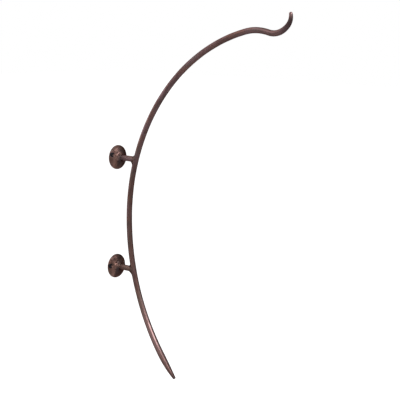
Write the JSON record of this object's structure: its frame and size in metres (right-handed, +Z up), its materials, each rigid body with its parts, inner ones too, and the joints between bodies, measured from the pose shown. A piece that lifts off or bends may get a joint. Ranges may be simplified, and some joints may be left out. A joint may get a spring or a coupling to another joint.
{
  "type": "hanging basket bracket",
  "caption": "Forged wall bracket: a long bow of round bar on short posts with domed backplates, ending in an upturned hook that cradles a hanging basket's ring.",
  "frame": {"origin": "centre of the upper backplate's back, on the wall", "axes": "+Z up, +X straight out from the wall, the bow in the plane Y = 0, both backplates' backs in the plane X = 0"},
  "size_m": [0.4542, 0.051, 0.7557],
  "materials": {
    "bow_patina": "satin purple-brown bronze patina on forged steel",
    "post_patina": "satin purple-brown bronze patina on steel",
    "backplate_patina": "satin warm brown bronze patina on pressed steel",
    "weld_patina": "satin brown patina over slightly lumpy weld metal"
  },
  "bodies": {
    "root": {"bow_bar": "bow_patina", "upper_post": "post_patina", "lower_post": "post_patina", "upper_backplate": "backplate_patina", "lower_backplate": "backplate_patina", "upper_plate_weld": "weld_patina", "lower_plate_weld": "weld_patina", "upper_bow_weld": "weld_patina", "lower_bow_weld": "weld_patina"}
  },
  "joints": []
}
